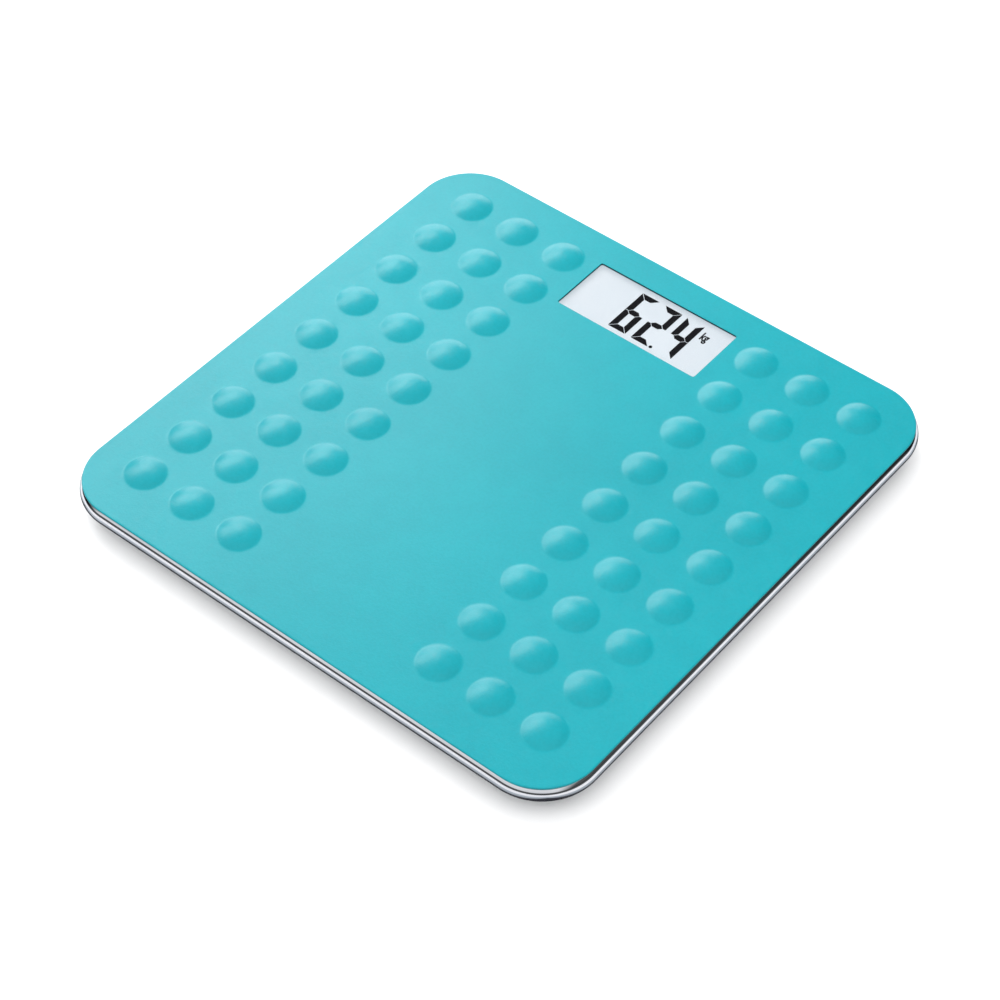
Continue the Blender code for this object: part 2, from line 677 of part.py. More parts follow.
SILICONE = new_material("silicone", (0.07, 0.52, 0.60), 0.55)
CHROME = new_material("chrome", (0.82, 0.84, 0.87), 0.12, 1.0)
STEEL = new_material("steel", (0.60, 0.60, 0.62), 0.35, 1.0)
CLEAR = new_material("clear_plastic", (0.92, 0.95, 0.97), 0.05)
PANEL = new_material("lcd_glass", (0.82, 0.87, 0.92), 0.20)
WHITE_PLASTIC = new_material("white_plastic", (0.85, 0.85, 0.84), 0.45)
GREY_PLASTIC = new_material("grey_plastic", (0.70, 0.72, 0.74), 0.50)
BLACK_PLASTIC = new_material("black_plastic", (0.05, 0.05, 0.05), 0.50)
BLACK_RESIN = new_material("black_resin", (0.02, 0.02, 0.02), 0.35)
BOARD_GREEN = new_material("circuit_board_green", (0.03, 0.22, 0.10), 0.40)
RUBBER = new_material("rubber", (0.12, 0.12, 0.12), 0.80)
GAUGE_FILM = new_material("gauge_film", (0.65, 0.40, 0.10), 0.40)
LEAD_INSULATION = new_material("lead_insulation", (0.60, 0.05, 0.05), 0.50)

make_mat()
make_cover()
make_stiffeners()
make_display()
make_board()
make_battery()
make_battery_door()
make_unit_button()
make_bottom_cover()
make_cover_screws()
for corner_name, (x_side, y_side) in CORNERS.items():
    make_corner(corner_name, x_side, y_side)
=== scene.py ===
"""The looks of the bathroom scale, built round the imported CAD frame.

Metres, +Z up, +Y away from the user, towards the display."""

import math

import bmesh
import bpy
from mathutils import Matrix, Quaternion, Vector


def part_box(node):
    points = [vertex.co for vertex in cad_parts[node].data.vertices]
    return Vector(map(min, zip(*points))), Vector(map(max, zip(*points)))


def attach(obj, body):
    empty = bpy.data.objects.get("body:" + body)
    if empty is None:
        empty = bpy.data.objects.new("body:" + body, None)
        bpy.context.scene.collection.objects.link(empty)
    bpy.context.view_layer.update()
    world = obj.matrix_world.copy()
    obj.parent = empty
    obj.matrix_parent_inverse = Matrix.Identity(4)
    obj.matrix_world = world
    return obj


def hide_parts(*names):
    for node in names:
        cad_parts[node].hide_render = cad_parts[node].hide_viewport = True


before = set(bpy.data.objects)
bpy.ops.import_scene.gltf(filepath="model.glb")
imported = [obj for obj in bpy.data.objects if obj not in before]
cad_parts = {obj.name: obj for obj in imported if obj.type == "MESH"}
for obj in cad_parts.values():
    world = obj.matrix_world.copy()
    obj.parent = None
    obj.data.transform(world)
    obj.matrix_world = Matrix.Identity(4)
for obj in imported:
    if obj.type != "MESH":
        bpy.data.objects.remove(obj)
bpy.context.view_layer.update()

MM = 0.001


# ---- Places taken from the CAD -----------------------------------------------------------------
def node_middle(node):
    low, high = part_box(node)
    return (low + high) / 2


MAT_LOW, MAT_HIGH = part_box("silicone_mat")
COVER_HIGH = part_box("top_cover")[1]
TRAY_LOW, TRAY_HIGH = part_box("bottom_cover")
PANEL_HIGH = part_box("lcd_panel")[1]
DOOR_LOW, DOOR_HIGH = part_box("battery_door")
CORNERS = {"front_left": (-1, -1), "front_right": (1, -1), "rear_left": (-1, 1), "rear_right": (1, 1)}

DOME_HEIGHT = 2.2 * MM
MAT_TOP_Z = MAT_HIGH.z - DOME_HEIGHT
DISPLAY_Y = node_middle("display_lens").y
DOOR_MIDDLE = ((DOOR_LOW.x + DOOR_HIGH.x) / 2, DISPLAY_Y)
WINDOW_WIDTH = 84.0 * MM
WINDOW_DEPTH = 36.2 * MM
COVER_CORNER = 30.0 * MM
CORNER_STEPS = 24


# ---- Mesh helpers ------------------------------------------------------------------------------
def rounded_loop(half_x, half_y, radius, z, steps=8, middle=(0, 0)):
    """Points of a rounded rectangle at one height, anticlockwise."""
    points = []
    for quarter, (sx, sy) in enumerate(((1, 1), (-1, 1), (-1, -1), (1, -1))):
        cx, cy = middle[0] + sx * (half_x - radius), middle[1] + sy * (half_y - radius)
        for step in range(steps + 1):
            angle = math.radians(90 * (quarter + step / steps))
            points.append((cx + radius * math.cos(angle), cy + radius * math.sin(angle), z))
    return points


def round_loop(radius, z, steps=48, middle=(0, 0)):
    turns = [2 * math.pi * step / steps for step in range(steps)]
    return [(middle[0] + radius * math.cos(a), middle[1] + radius * math.sin(a), z) for a in turns]


def add_loop(shape, points):
    return [shape.verts.new(point) for point in points]


def bridge(shape, first, second, material=0):
    """Quads between two loops of the same count."""
    count = len(first)
    for i in range(count):
        j = (i + 1) % count
        face = shape.faces.new((first[i], first[j], second[j], second[i]))
        face.material_index = material


def stack(shape, loops, material=0):
    """Bridges each loop to the next and returns the loops of vertices."""
    made = [add_loop(shape, loop) for loop in loops]
    for first, second in zip(made, made[1:]):
        bridge(shape, first, second, material)
    return made


def fill(shape, *loops):
    """A flat face in the first loop, with the others as holes."""
    edges = []
    for loop in loops:
        for i, vert in enumerate(loop):
            other = loop[(i + 1) % len(loop)]
            edges.append(shape.edges.get((vert, other)) or shape.edges.new((vert, other)))
    bmesh.ops.triangle_fill(shape, use_beauty=True, edges=edges)


def add_prism(shape, outline, bottom, top):
    """A flat-ended solid between two heights, over an outline whose points start with x and y."""
    low, high = stack(shape, [[(p[0], p[1], z) for p in outline] for z in (bottom, top)])
    shape.faces.new(low)
    shape.faces.new(high)


def add_object(name, data):
    piece = bpy.data.objects.new(name, data)
    bpy.context.scene.collection.objects.link(piece)
    return piece


def finish_shape(name, shape, materials, smooth=True):
    """An object from the bmesh, with outward normals."""
    bmesh.ops.recalc_face_normals(shape, faces=shape.faces)
    mesh = bpy.data.meshes.new(name)
    for face in shape.faces:
        face.smooth = smooth
    shape.to_mesh(mesh)
    shape.free()
    for material in materials:
        mesh.materials.append(material)
    return add_object(name, mesh)


def turned(name, profile, material, middle=(0, 0), steps=64):
    """A round solid from (radius, height) points, which start and end on the axis."""
    shape = bmesh.new()
    rings = stack(shape, [round_loop(r, z, steps, middle) for r, z in profile[1:-1]])
    for ring, (_, z) in ((rings[0], profile[0]), (rings[-1], profile[-1])):
        centre = shape.verts.new((middle[0], middle[1], z))
        for i, vert in enumerate(ring):
            shape.faces.new((vert, ring[(i + 1) % steps], centre))
    piece = finish_shape(name, shape, [material])
    piece.data.set_sharp_from_angle(angle=math.radians(28))
    return piece


def prism(name, outline, bottom, top, materials=()):
    shape = bmesh.new()
    add_prism(shape, outline, bottom, top)
    return finish_shape(name, shape, materials, smooth=False)


def evaluated_mesh(obj):
    """A new mesh with the object's modifiers applied."""
    bpy.context.view_layer.update()
    evaluated = obj.evaluated_get(bpy.context.evaluated_depsgraph_get())
    return bpy.data.meshes.new_from_object(evaluated)


def apply_modifiers(piece):
    mesh = evaluated_mesh(piece)
    piece.modifiers.clear()
    piece.data = mesh


def carve(piece, cutters, operation="DIFFERENCE"):
    """Boolean each cutter into the piece, then remove the cutters."""
    for cutter in cutters:
        change = piece.modifiers.new("cut", "BOOLEAN")
        change.operation = operation
        change.object = cutter
        change.solver = "EXACT"
    apply_modifiers(piece)
    for cutter in cutters:
        bpy.data.objects.remove(cutter, do_unlink=True)


def soften(piece, width, segments=2, angle=30):
    """Rounds the sharp edges for good, so that they catch the light."""
    shape = bmesh.new()
    shape.from_mesh(piece.data)
    bmesh.ops.remove_doubles(shape, verts=shape.verts, dist=1e-6)
    flat = math.radians(0.5)
    bmesh.ops.dissolve_limit(shape, angle_limit=flat, verts=shape.verts, edges=shape.edges)
    shape.to_mesh(piece.data)
    shape.free()
    bevel = piece.modifiers.new("edges", "BEVEL")
    bevel.width = width
    bevel.segments = segments
    bevel.limit_method = "ANGLE"
    bevel.angle_limit = math.radians(angle)
    bevel.use_clamp_overlap = True
    apply_modifiers(piece)
    piece.data.shade_smooth()
    piece.data.set_sharp_from_angle(angle=math.radians(40))


def dress(piece, material):
    """One material on the whole piece."""
    piece.data.materials.clear()
    piece.data.materials.append(material)


def stand_in(piece, body, node):
    """The piece replaces a CAD node: it rides on the node's body, and the node is hidden."""
    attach(piece, body)
    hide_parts(node)


# ---- Materials ---------------------------------------------------------------------------------
def add_node(tree, kind, inputs=(), **settings):
    """A shader node: each of its inputs gets a link from a socket, or a constant."""
    made = tree.nodes.new(kind)
    for key, value in settings.items():
        setattr(made, key, value)
    for key, value in dict(inputs).items():
        if isinstance(value, bpy.types.NodeSocket):
            tree.links.new(value, made.inputs[key])
        else:
            made.inputs[key].default_value = value
    return made


def add_spread(tree, value, start, end, low, high):
    """Turns start..end into low..high."""
    inputs = {"Value": value, "From Min": start, "From Max": end, "To Min": low, "To Max": high}
    return add_node(tree, "ShaderNodeMapRange", inputs).outputs[0]


def set_stops(ramp, stops):
    """Gives a colour ramp node its (position, colour) stops."""
    elements = ramp.color_ramp.elements
    for position, _ in stops[2:]:
        elements.new(position)
    for element, (position, colour) in zip(elements, stops):
        element.position = position
        element.color = (*colour, 1)


class Finish:
    """One node material, with constants on the shader's sockets and patterns in object space."""

    def __init__(self, name, **inputs):
        self.material = bpy.data.materials.new(name)
        self.material.use_nodes = True
        self.tree = self.material.node_tree
        self.shader = self.tree.nodes["Principled BSDF"]
        for key, value in inputs.items():
            self.shader.inputs[key.replace("_", " ")].default_value = value
        self.place = self.tree.nodes.new("ShaderNodeTexCoord").outputs["Object"]
        self.normal = None

    def node(self, kind, inputs=(), **settings):
        return add_node(self.tree, kind, inputs, **settings)

    def noise(self, scale, detail=2.0, stretch=(1, 1, 1)):
        place = self.place
        if stretch != (1, 1, 1):
            place = self.node("ShaderNodeMapping", {"Vector": place, "Scale": stretch}).outputs[0]
        inputs = {"Vector": place, "Scale": scale, "Detail": detail}
        return self.node("ShaderNodeTexNoise", inputs).outputs[0]

    def ramp(self, factor, dark, light, low=0.35, high=0.65):
        ramp = self.node("ShaderNodeValToRGB", {"Fac": factor})
        set_stops(ramp, [(low, dark), (high, light)])
        return ramp.outputs[0]

    def spread(self, factor, low, high, start=0.3, end=0.7):
        return add_spread(self.tree, factor, start, end, low, high)

    def multiply(self, colour, other, share):
        mix = self.node("ShaderNodeMix", data_type="RGBA", blend_type="MULTIPLY")
        mix.inputs[0].default_value = share
        self.tree.links.new(colour, mix.inputs[6])
        self.tree.links.new(other, mix.inputs[7])
        return mix.outputs[2]

    def bump(self, height, depth, strength=1.0):
        inputs = {"Height": height, "Distance": depth, "Strength": strength}
        if self.normal:
            inputs["Normal"] = self.normal
        self.normal = self.node("ShaderNodeBump", inputs).outputs[0]
        self.tree.links.new(self.normal, self.shader.inputs["Normal"])

    def set(self, socket, output):
        self.tree.links.new(output, self.shader.inputs[socket])


def scaled(colour, share):
    return tuple(min(1.0, c * share) for c in colour)


def silicone(name, colour, roughness):
    """Matt moulded silicone: cloudy tone, fine speckle and an eroded-mould grain."""
    f = Finish(name, IOR=1.5, Specular_IOR_Level=0.30)
    cloud = f.ramp(f.noise(9, 3), scaled(colour, 0.96), scaled(colour, 1.03), 0.3, 0.7)
    mottle = f.ramp(f.noise(85, 3), (0.955, 0.965, 0.968), (1, 1, 1), 0.35, 0.62)
    speck = f.ramp(f.noise(700, 3), (0.93, 0.95, 0.95), (1, 1, 1), 0.35, 0.6)
    f.set("Base Color", f.multiply(f.multiply(cloud, mottle, 1.0), speck, 1.0))
    f.set("Roughness", f.spread(f.noise(500, 2), roughness - 0.04, roughness + 0.05))
    f.bump(f.noise(260, 2), 0.00008, 0.6)
    f.bump(f.noise(1300, 3), 0.00006, 0.8)
    return f.material


def chrome(name):
    """Polished chrome plate with the slightest waviness."""
    f = Finish(name, Metallic=1.0)
    f.set("Base Color", f.ramp(f.noise(30, 2), (0.80, 0.82, 0.86), (0.88, 0.89, 0.92)))
    f.set("Roughness", f.spread(f.noise(420, 3, (1, 1, 0.2)), 0.02, 0.05))
    f.bump(f.noise(90, 2, (1, 1, 3)), 0.00001, 0.25)
    return f.material


def moulded(name, colour, roughness, grain=1800, depth=0.00003):
    """Moulded plastic or rubber with a spark-eroded grain."""
    f = Finish(name, IOR=1.48)
    cloud = f.ramp(f.noise(25, 3), scaled(colour, 0.93), scaled(colour, 1.04), 0.3, 0.7)
    speck = f.ramp(f.noise(grain * 0.6, 2), (0.88, 0.88, 0.88), (1, 1, 1), 0.3, 0.6)
    f.set("Base Color", f.multiply(cloud, speck, 1.0))
    f.set("Roughness", f.spread(f.noise(grain * 0.3, 2), roughness - 0.05, roughness + 0.07))
    f.bump(f.noise(grain, 3), depth, 0.7)
    return f.material


def brushed(name, colour, roughness, stretch=(1, 14, 14), metallic=1.0):
    """Rolled or brushed sheet metal, with its grain along one direction."""
    f = Finish(name, Metallic=metallic)
    grain = f.noise(60, 4, stretch)
    f.set("Base Color", f.ramp(grain, scaled(colour, 0.80), scaled(colour, 1.08)))
    f.set("Roughness", f.spread(f.noise(90, 3, stretch), roughness - 0.08, roughness + 0.12))
    f.bump(grain, 0.00001, 0.4)
    return f.material


def lcd_face(name):
    """The reflective back of the panel: pale, faintly pearly. Its glow is painted light, which fills
    in the shade of the window's recess.
    """
    f = Finish(name, IOR=1.5, Emission_Color=(0.80, 0.88, 0.95, 1), Emission_Strength=0.62)
    cloud = f.ramp(f.noise(14, 2), (0.156, 0.165, 0.171), (0.164, 0.173, 0.179), 0.3, 0.7)
    speck = f.ramp(f.noise(2600, 2), (0.95, 0.95, 0.96), (1, 1, 1), 0.3, 0.6)
    f.set("Base Color", f.multiply(cloud, speck, 1.0))
    f.set("Roughness", f.spread(f.noise(900, 2), 0.30, 0.42))
    f.bump(f.noise(2200, 2), 0.00001, 0.4)
    return f.material


def lcd_ink(name):
    """The dark segments, which mirror nothing."""
    f = Finish(name, IOR=1.5, Specular_IOR_Level=0.0)
    f.set("Base Color", f.ramp(f.noise(1200, 2), (0.002, 0.002, 0.003), (0.005, 0.005, 0.006)))
    f.set("Roughness", f.spread(f.noise(700, 2), 0.45, 0.60))
    return f.material


def clear_lens(name):
    """Clear acrylic. Lamps and diffuse light pass it as through an open window."""
    f = Finish(name, Transmission_Weight=1.0, IOR=1.46, Roughness=0.0)
    f.set("Base Color", f.ramp(f.noise(45, 3), (0.965, 0.975, 0.985), (0.992, 0.996, 1.0)))
    path = f.node("ShaderNodeLightPath")
    rays = {0: path.outputs["Is Shadow Ray"], 1: path.outputs["Is Diffuse Ray"]}
    either = f.node("ShaderNodeMath", rays, operation="MAXIMUM")
    open_air = f.node("ShaderNodeBsdfTransparent", {"Color": (0.985, 0.992, 1.0, 1.0)})
    mix = f.node("ShaderNodeMixShader", {0: either.outputs[0]})
    f.tree.links.new(f.shader.outputs[0], mix.inputs[1])
    f.tree.links.new(open_air.outputs[0], mix.inputs[2])
    f.tree.links.new(mix.outputs[0], f.tree.nodes["Material Output"].inputs["Surface"])
    return f.material


def board_finish(name):
    """Solder mask over etched copper, which shows as slightly lighter runs."""
    f = Finish(name, IOR=1.5, Coat_Weight=0.4)
    runs = f.node("ShaderNodeTexBrick", {"Vector": f.place, "Scale": 90.0, "Mortar Size": 0.03})
    runs.inputs["Color1"].default_value = (0.010, 0.120, 0.045, 1)
    runs.inputs["Color2"].default_value = (0.012, 0.150, 0.055, 1)
    runs.inputs["Mortar"].default_value = (0.050, 0.300, 0.110, 1)
    speck = f.ramp(f.noise(900, 2), (0.85, 0.85, 0.85), (1, 1, 1))
    f.set("Base Color", f.multiply(runs.outputs[0], speck, 1.0))
    f.set("Roughness", f.spread(f.noise(300, 2), 0.30, 0.45))
    f.bump(runs.outputs["Fac"], 0.00003, 0.5)
    return f.material


def gauge_finish(name):
    """Brown polyimide film with the fine lines of the foil grid."""
    f = Finish(name, IOR=1.6)
    lines = f.node("ShaderNodeTexWave", {"Vector": f.place, "Scale": 500.0, "Distortion": 0.0})
    f.set("Base Color", f.ramp(lines.outputs[0], (0.36, 0.16, 0.03), (0.60, 0.36, 0.12)))
    f.set("Roughness", f.spread(f.noise(800, 2), 0.30, 0.45))
    f.bump(lines.outputs[0], 0.00002, 0.5)
    return f.material


TEAL = (0.0006, 0.236, 0.276)
SILICONE = silicone("silicone_teal", TEAL, 0.34)
# The window's wall is the same teal silicone, coloured near black: painted shade in the display's
# recess.
SILICONE_WALL_SHADE = silicone("silicone_window_painted_shade", (0.004, 0.030, 0.040), 0.55)
CHROME = chrome("chrome_polished")
PRESSED = brushed("steel_zinc_plated", (0.62, 0.63, 0.66), 0.34)
CELL_STEEL = brushed("steel_load_cell", (0.55, 0.56, 0.58), 0.28, (14, 1, 14))
SCREW_STEEL = brushed("steel_screw", (0.45, 0.46, 0.48), 0.30, (3, 3, 3))
BATTERY_STEEL = brushed("steel_battery_can", (0.70, 0.71, 0.73), 0.22, (2, 2, 2))
CONTACT = brushed("contact_nickel", (0.72, 0.69, 0.62), 0.26, (2, 12, 2))
LENS = clear_lens("lens_clear")
LCD = lcd_face("lcd_face")
INK = lcd_ink("lcd_segment")
WHITE_PLASTIC = moulded("plastic_white", (0.72, 0.73, 0.72), 0.45)
GREY_PLASTIC = moulded("plastic_grey", (0.50, 0.52, 0.54), 0.52)
FOOT_PLASTIC = moulded("plastic_foot", (0.46, 0.48, 0.50), 0.50)
BUTTON_PLASTIC = moulded("plastic_button", (0.20, 0.22, 0.24), 0.45)
BLACK_PLASTIC = moulded("plastic_black", (0.022, 0.023, 0.025), 0.50)
RESIN = moulded("resin_black", (0.012, 0.012, 0.013), 0.35, 2600)
FOOT_RUBBER = moulded("rubber_foot", (0.055, 0.058, 0.062), 0.78, 1300, 0.00005)
CONTACT_RUBBER = moulded("rubber_contact", (0.10, 0.10, 0.11), 0.70, 2200)
PLATE = brushed("plate_foil", (0.62, 0.64, 0.66), 0.40, (5, 70, 1))
BOARD = board_finish("circuit_board_mask")
GAUGE = gauge_finish("gauge_film")
LEAD = moulded("lead_insulation", (0.42, 0.030, 0.022), 0.42, 900, 0.00002)

# ---- Silicone mat ------------------------------------------------------------------------------
MAT_EDGE = 0.5 * MM
MAT_UNDERCUT = 0.3 * MM
MAT_CORNER = 28.4 * MM
WINDOW_CORNER = 1.2 * MM
# (how far out from the window's edge, height from the mat's top) round the lip, in millimetres.
WINDOW_LIP = [(0.45, 0), (0.15, 0), (0.05, -0.05), (0, -0.15)]
DOME_RADIUS = 10.5 * MM
DOME_BLEND = 0.8 * MM
DOME_STEPS = 48
DOME_PITCH = 30 * MM
DOME_COLUMNS = [side * (60 * MM + DOME_PITCH * n) for side in (-1, 1) for n in range(3)]
DOME_ROWS = [2 * MM + DOME_PITCH * (n - 4) for n in range(9)]


def dome_ring_heights():
    """(radius, height) down a dome: a shallow spherical cap that blends into the mat at its base."""
    sphere = (DOME_HEIGHT**2 + DOME_RADIUS**2) / (2 * DOME_HEIGHT)
    rings = []
    edge = DOME_RADIUS - DOME_BLEND
    radii = [edge * n / 8 for n in range(1, 9)]
    radii += [DOME_RADIUS + DOME_BLEND * n / 2 for n in range(-1, 3)]
    for radius in radii + [DOME_RADIUS + DOME_BLEND + 0.4 * MM]:
        cap = DOME_HEIGHT - sphere + math.sqrt(sphere**2 - radius**2)
        if radius > edge:
            rest = (DOME_RADIUS + DOME_BLEND - radius) / (2 * DOME_BLEND)
            start = DOME_HEIGHT - sphere + math.sqrt(sphere**2 - edge**2)
            cap = start * max(0.0, rest) ** 2
        rings.append((radius, cap))
    return rings


def make_mat():
    """The mat: its rounded edge, the lip and cut wall of its window, and its domes."""
    shape = bmesh.new()
    half = MAT_HIGH.x

    def outline(inset, z):
        return rounded_loop(half - inset, half - inset, MAT_CORNER - inset, z, CORNER_STEPS)

    loops = [outline(MAT_UNDERCUT, MAT_LOW.z), outline(0, MAT_LOW.z + 0.2 * MM)]
    for step in range(6):
        turn = math.radians(90 * step / 5)
        inset = MAT_EDGE * (1 - math.cos(turn))
        loops.append(outline(inset, MAT_TOP_Z - MAT_EDGE * (1 - math.sin(turn))))
    loops.append(outline(MAT_EDGE + 0.6 * MM, MAT_TOP_Z))
    outer = stack(shape, loops)

    rings = []
    for grow, z in [(g * MM, MAT_TOP_Z + z * MM) for g, z in WINDOW_LIP] + [(0, MAT_LOW.z)]:
        half_x, half_y = WINDOW_WIDTH / 2 + grow, WINDOW_DEPTH / 2 + grow
        loop = rounded_loop(half_x, half_y, WINDOW_CORNER + grow, z, 6, (0, DISPLAY_Y))
        rings.append(add_loop(shape, loop))
    # The last band, the window's wall, takes the near-black silicone: painted shade.
    for first, second in zip(rings, rings[1:]):
        bridge(shape, first, second, 1 if second is rings[-1] else 0)

    profile = dome_ring_heights()
    bases = []
    for x in DOME_COLUMNS:
        for y in DOME_ROWS:
            loops = [round_loop(r, MAT_TOP_Z + z, DOME_STEPS, (x, y)) for r, z in profile]
            made = stack(shape, loops)
            top = shape.verts.new((x, y, MAT_TOP_Z + DOME_HEIGHT))
            for i, vert in enumerate(made[0]):
                shape.faces.new((vert, made[0][(i + 1) % DOME_STEPS], top))
            bases.append(made[-1])
    fill(shape, outer[-1], rings[0], *bases)
    fill(shape, outer[0], rings[-1])
    mat = finish_shape("mat", shape, [SILICONE, SILICONE_WALL_SHADE])
    mat.data.set_sharp_from_angle(angle=math.radians(60))
    stand_in(mat, "scale", "silicone_mat")


# ---- Chromed cover -----------------------------------------------------------------------------
RIM_DEPTH = 9.0 * MM
RIM_ROUNDING = 4.4 * MM
SHEET = 1.2 * MM
HEM = 3.2 * MM
APERTURE_MARGIN = 2.2 * MM


def make_cover():
    """One pressed sheet: a flat top with the display's aperture, a half-round rim and a hem."""
    half = COVER_HIGH.x
    top, bottom = COVER_HIGH.z, COVER_HIGH.z - RIM_DEPTH
    upper_z, lower_z = top - RIM_ROUNDING, bottom + RIM_ROUNDING
    inner = RIM_ROUNDING - SHEET

    def loop(depth, z):
        return rounded_loop(half - depth, half - depth, COVER_CORNER - depth, z, CORNER_STEPS)

    def on_arc(radius, turn, centre_z, side):
        """A point of the rim's section: how far in from the side, and its height."""
        return RIM_ROUNDING - radius * math.cos(turn), centre_z + side * radius * math.sin(turn)

    outside = [(RIM_ROUNDING + 0.6 * MM, top)]
    steps = 18
    for step in range(steps + 1):
        outside.append(on_arc(RIM_ROUNDING, math.radians(90 * (1 - step / steps)), upper_z, 1))
    last = math.acos((RIM_ROUNDING - HEM) / RIM_ROUNDING)
    for step in range(1, steps + 1):
        outside.append(on_arc(RIM_ROUNDING, last * step / steps, lower_z, -1))
    inside = []
    last = math.acos((RIM_ROUNDING - HEM) / inner)
    for step in range(7):
        inside.append(on_arc(inner, last * (1 - step / 6), lower_z, -1))
    for step in range(7):
        inside.append(on_arc(inner, math.radians(90 * step / 6), upper_z, 1))
    shape = bmesh.new()
    rings = stack(shape, [loop(depth, z) for depth, z in outside + inside])
    half_x, half_y = WINDOW_WIDTH / 2 + APERTURE_MARGIN, WINDOW_DEPTH / 2 + APERTURE_MARGIN
    heights = (top, top - SHEET)
    wall = stack(shape, [rounded_loop(half_x, half_y, MM, z, 4, (0, DISPLAY_Y)) for z in heights])
    fill(shape, rings[0], wall[0])
    fill(shape, rings[-1], wall[-1])
    cover = finish_shape("chrome_cover", shape, [CHROME])
    cover.data.set_sharp_from_angle(angle=math.radians(40))
    stand_in(cover, "scale", "top_cover")


# ---- Display -----------------------------------------------------------------------------------
INK_THICKNESS = 0.06 * MM
DIGIT_WIDTH = 10.9 * MM
DIGIT_BOTTOM = 99.05 * MM
DIGIT_HEIGHT = 29.15 * MM
STROKE = 3.65 * MM
SEGMENT_GAP = 0.28 * MM
SEGMENTS = {"6": "afgedc", "2": "abged", "4": "fgbc"}
# Each digit and its left edge.
DIGITS = (("6", -13.95 * MM), ("2", 0.10 * MM), ("4", 14.0 * MM))
# The decimal point's x, y and radius.
POINT = (12.0 * MM, 100.0 * MM, 0.95 * MM)
# The unit's left, right, low and high edges.
UNIT_BOX = (27.0 * MM, 31.3 * MM, 117.6 * MM, 125.0 * MM)


def segment_outlines():
    """Each segment of a digit whose lower left corner is at the origin."""
    w, h, s = DIGIT_WIDTH, DIGIT_HEIGHT, STROKE
    m = h / 2
    upper_left = [(0, h), (s, h - s), (s, m + s / 2), (s / 2, m), (0, m)]
    outlines = {"a": [(0, h), (w, h), (w - s, h - s), (s, h - s)], "f": upper_left}
    outlines["g"] = [(s / 2, m), (s, m + s / 2), (w - s, m + s / 2)]
    outlines["g"] += [(w - s / 2, m), (w - s, m - s / 2), (s, m - s / 2)]
    outlines["b"] = [(w - x, y) for x, y in upper_left]
    outlines["e"] = [(x, h - y) for x, y in upper_left]
    outlines["c"] = [(w - x, h - y) for x, y in upper_left]
    outlines["d"] = [(x, h - y) for x, y in outlines["a"]]
    return outlines


def shrunk(outline, distance):
    """A convex outline moved inwards by the same distance on every side."""
    middle = sum((Vector(p) for p in outline), Vector((0, 0))) / len(outline)
    sides = []
    for start, end in zip(outline, outline[1:] + outline[:1]):
        start, end = Vector(start), Vector(end)
        normal = Vector((start.y - end.y, end.x - start.x)).normalized()
        if normal.dot(middle - start) < 0:
            normal = -normal
        sides.append((start + normal * distance, (end - start).normalized()))
    points = []
    for (p, d), (q, e) in zip(sides[-1:] + sides[:-1], sides):
        t = (q - p).cross(e) / d.cross(e)
        points.append(p + d * t)
    return points


def make_digits():
    """The reading, its decimal point and its unit, as thin plates on the panel."""
    bottom = PANEL_HIGH.z
    top = bottom + INK_THICKNESS
    shape = bmesh.new()
    outlines = segment_outlines()
    for digit, left in DIGITS:
        for segment in SEGMENTS[digit]:
            outline = shrunk(outlines[segment], SEGMENT_GAP / 2)
            add_prism(shape, [(left + p.x, DIGIT_BOTTOM + p.y) for p in outline], bottom, top)
    x, y, radius = POINT
    add_prism(shape, round_loop(radius, 0, 24, (x, y)), bottom, top)
    digits = finish_shape("lcd_digits", shape, [INK], smooth=False)
    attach(digits, "scale")

    text = bpy.data.curves.new("unit", "FONT")
    text.body = "kg"
    text.extrude = 0.5
    text.offset = 0.035
    text.resolution_u = 3
    holder = add_object("unit", text)
    mesh = evaluated_mesh(holder)
    bpy.data.objects.remove(holder, do_unlink=True)
    xs, ys = [v.co.x for v in mesh.vertices], [v.co.y for v in mesh.vertices]
    left, right, low, high = UNIT_BOX
    for vert in mesh.vertices:
        vert.co.x = left + (vert.co.x - min(xs)) / (max(xs) - min(xs)) * (right - left)
        vert.co.y = low + (vert.co.y - min(ys)) / (max(ys) - min(ys)) * (high - low)
        vert.co.z = top if vert.co.z > 0 else bottom
    unit = add_object("lcd_unit", mesh)
    dress(unit, INK)
    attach(unit, "scale")


# ---- Underside ---------------------------------------------------------------------------------
FOOT_REACH = 108 * MM
SCREW_REACH = 45 * MM
SCREWS = [(x * FOOT_REACH, y * SCREW_REACH) for x in (-1, 1) for y in (-1, 1)]
SCREWS += [(x * SCREW_REACH, -FOOT_REACH) for x in (-1, 1)]

TRAY_WALL = 2.0 * MM
TRAY_ROUNDING = 4.0 * MM
TRAY_RIM_Z = 12.0 * MM
TRAY_SHOULDER_Z = 11.6 * MM
TRAY_LIP = 0.3 * MM
# The heights between which a cutter goes through the tray's floor.
CUT_LOW, CUT_HIGH = 3 * MM, 8 * MM
POST_RADIUS, POST_TOP = 4.5 * MM, 9.5 * MM
HEAD_WELL_RADIUS, HEAD_WELL_DEPTH = 3.4 * MM, 2.5 * MM
SHANK_HOLE_RADIUS = 1.8 * MM
FOOT_WELL_RADIUS = 18 * MM
BUTTON_HOLE_RADIUS = 3.8 * MM
# Ring grooves: radius, width and depth.
FOOT_GROOVE = (21.5 * MM, 1.0 * MM, 0.35 * MM)
BUTTON_GROOVE = (6.4 * MM, 0.8 * MM, 0.3 * MM)
# Rounded rectangles: half width, half depth and corner radius.
DOORWAY = (18.3 * MM, 15.3 * MM, 1.2 * MM)
PLATE_RECESS = (42 * MM, 24 * MM, 3 * MM)
RATING_PLATE = (41 * MM, 23 * MM, 2.5 * MM)
PANEL_SLOT = (14 * MM, 1.5 * MM, 1.4 * MM)
PLATE_PLACE = (0, -10 * MM)
PLATE_DEPTH = 0.3 * MM
SLOT_REACH, SLOT_PITCH, SLOT_DEPTH = 78 * MM, 9 * MM, 0.6 * MM
POST_CLEARANCE = 0.08 * MM


